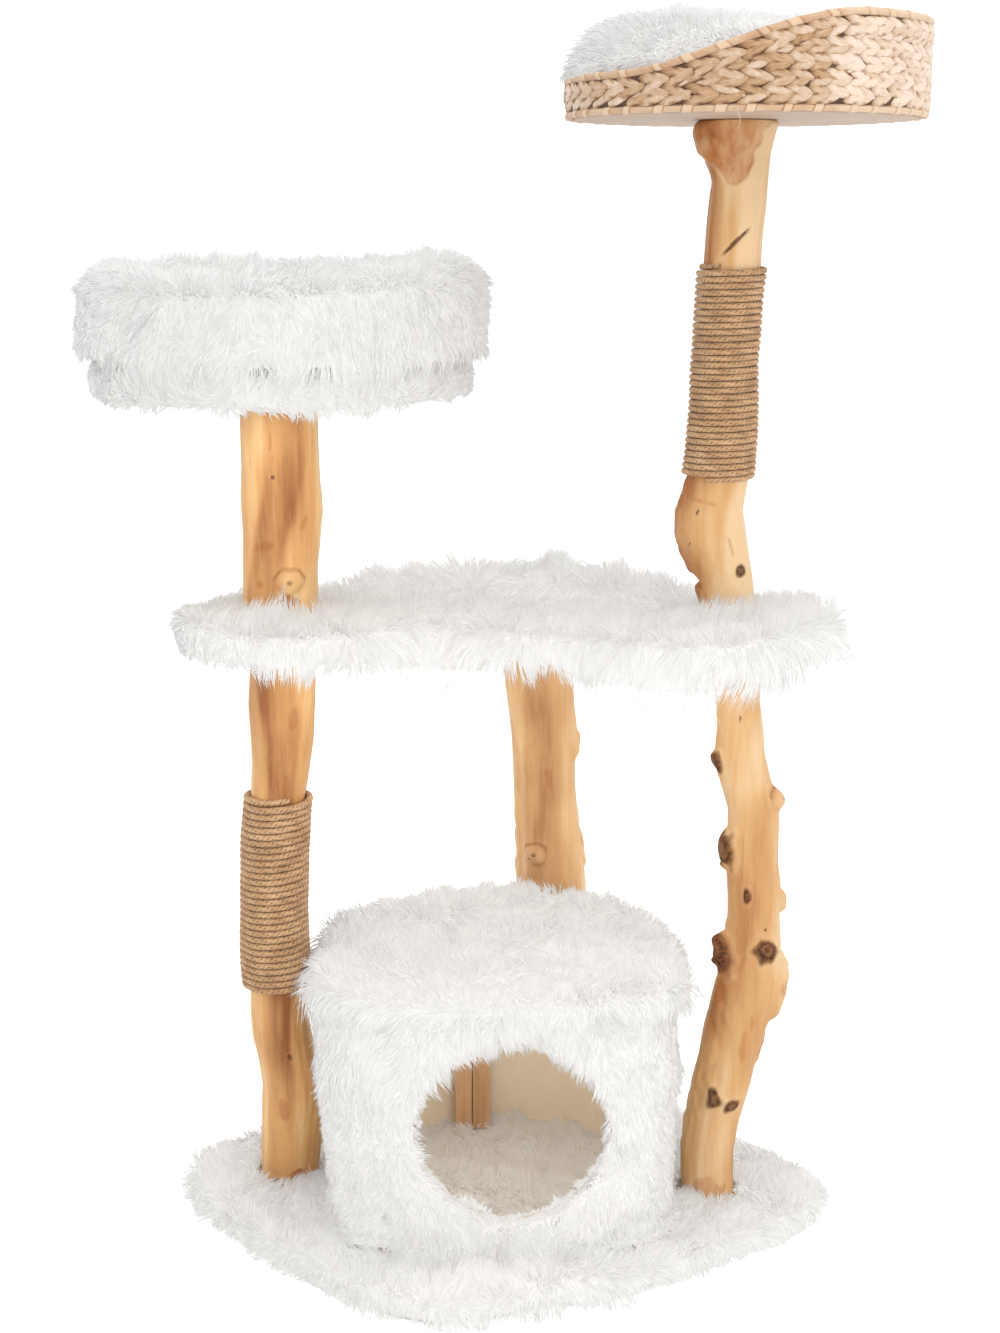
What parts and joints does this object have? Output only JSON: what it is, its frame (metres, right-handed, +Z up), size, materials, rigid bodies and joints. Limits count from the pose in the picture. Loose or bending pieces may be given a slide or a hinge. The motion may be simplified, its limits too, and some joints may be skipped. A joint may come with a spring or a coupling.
{
  "type": "cat tree",
  "caption": "Free-standing cat tree with branch posts on a plush base, a condo with a round entrance, a middle deck, a raised round bed and a woven basket.",
  "frame": {"origin": "on the floor, on the flat underside of the base, near the middle of its plan", "axes": "+Z up, +X to the right seen from the front, -Y towards the front with the condo entrance"},
  "size_m": [0.8175, 0.5079, 1.2355],
  "materials": {
    "fur_white": "long-pile faux fur, warm white, matte",
    "lining_cloth": "smooth cream lining cloth",
    "underside_cloth": "plain cream non-woven cloth",
    "board": "raw fibreboard",
    "batten_wood": "sawn, unfinished",
    "branch_wood": "peeled branch, smoothed and lightly waxed, visible grain and knots",
    "jute_rope": "twisted jute rope",
    "water_hyacinth": "plaited dried plant fibre, satin",
    "basket_board": "white painted board",
    "zinc_steel": "zinc plated",
    "brass_insert": "machined"
  },
  "bodies": {
    "root": {"base_board": "board", "base_plush": "fur_white", "base_underlay": "underside_cloth", "deck_board": "board", "deck_plush": "fur_white", "deck_underlay": "underside_cloth", "condo_wall": "board", "condo_wall_plush": "fur_white", "condo_lining": "lining_cloth", "condo_roof_board": "board", "condo_roof_plush": "fur_white", "left_condo_batten": "batten_wood", "right_condo_batten": "batten_wood", "bed_board": "board", "bed_underlay": "underside_cloth", "bed_disc_plush": "fur_white", "basket_board": "basket_board", "basket_wall": "water_hyacinth", "basket_top_rim": "water_hyacinth", "basket_bottom_rim": "water_hyacinth", "left_lower_post": "branch_wood", "left_upper_post": "branch_wood", "centre_post": "branch_wood", "right_lower_post": "branch_wood", "right_upper_post": "branch_wood", "left_rope_wrap": "jute_rope", "right_rope_wrap": "jute_rope", "left_base_bolt": "zinc_steel", "left_base_washer": "zinc_steel", "left_base_insert": "brass_insert", "centre_base_bolt": "zinc_steel", "centre_base_washer": "zinc_steel", "centre_base_insert": "brass_insert", "right_base_bolt": "zinc_steel", "right_base_washer": "zinc_steel", "right_base_insert": "brass_insert", "centre_deck_bolt": "zinc_steel", "centre_deck_washer": "zinc_steel", "centre_deck_insert": "brass_insert", "bed_bolt": "zinc_steel", "bed_washer": "zinc_steel", "bed_insert": "brass_insert", "basket_bolt": "zinc_steel", "basket_washer": "zinc_steel", "basket_insert": "brass_insert", "left_deck_stud": "zinc_steel", "right_deck_stud": "zinc_steel", "left_base_screw": "zinc_steel", "right_base_screw": "zinc_steel", "left_roof_screw": "zinc_steel", "right_roof_screw": "zinc_steel"},
    "bed_cushion": {"bed_bolster": "fur_white", "bed_floor_pad": "fur_white"},
    "basket_pad": {"basket_cushion": "fur_white"}
  },
  "joints": [
    {"name": "bed_cushion_lift", "type": "slide", "parent": "root", "child": "bed_cushion", "axis": [0, 0, 1], "range_m": [0, 0.25]},
    {"name": "basket_cushion_lift", "type": "slide", "parent": "root", "child": "basket_pad", "axis": [0, 0, 1], "range_m": [0, 0.25]}
  ]
}
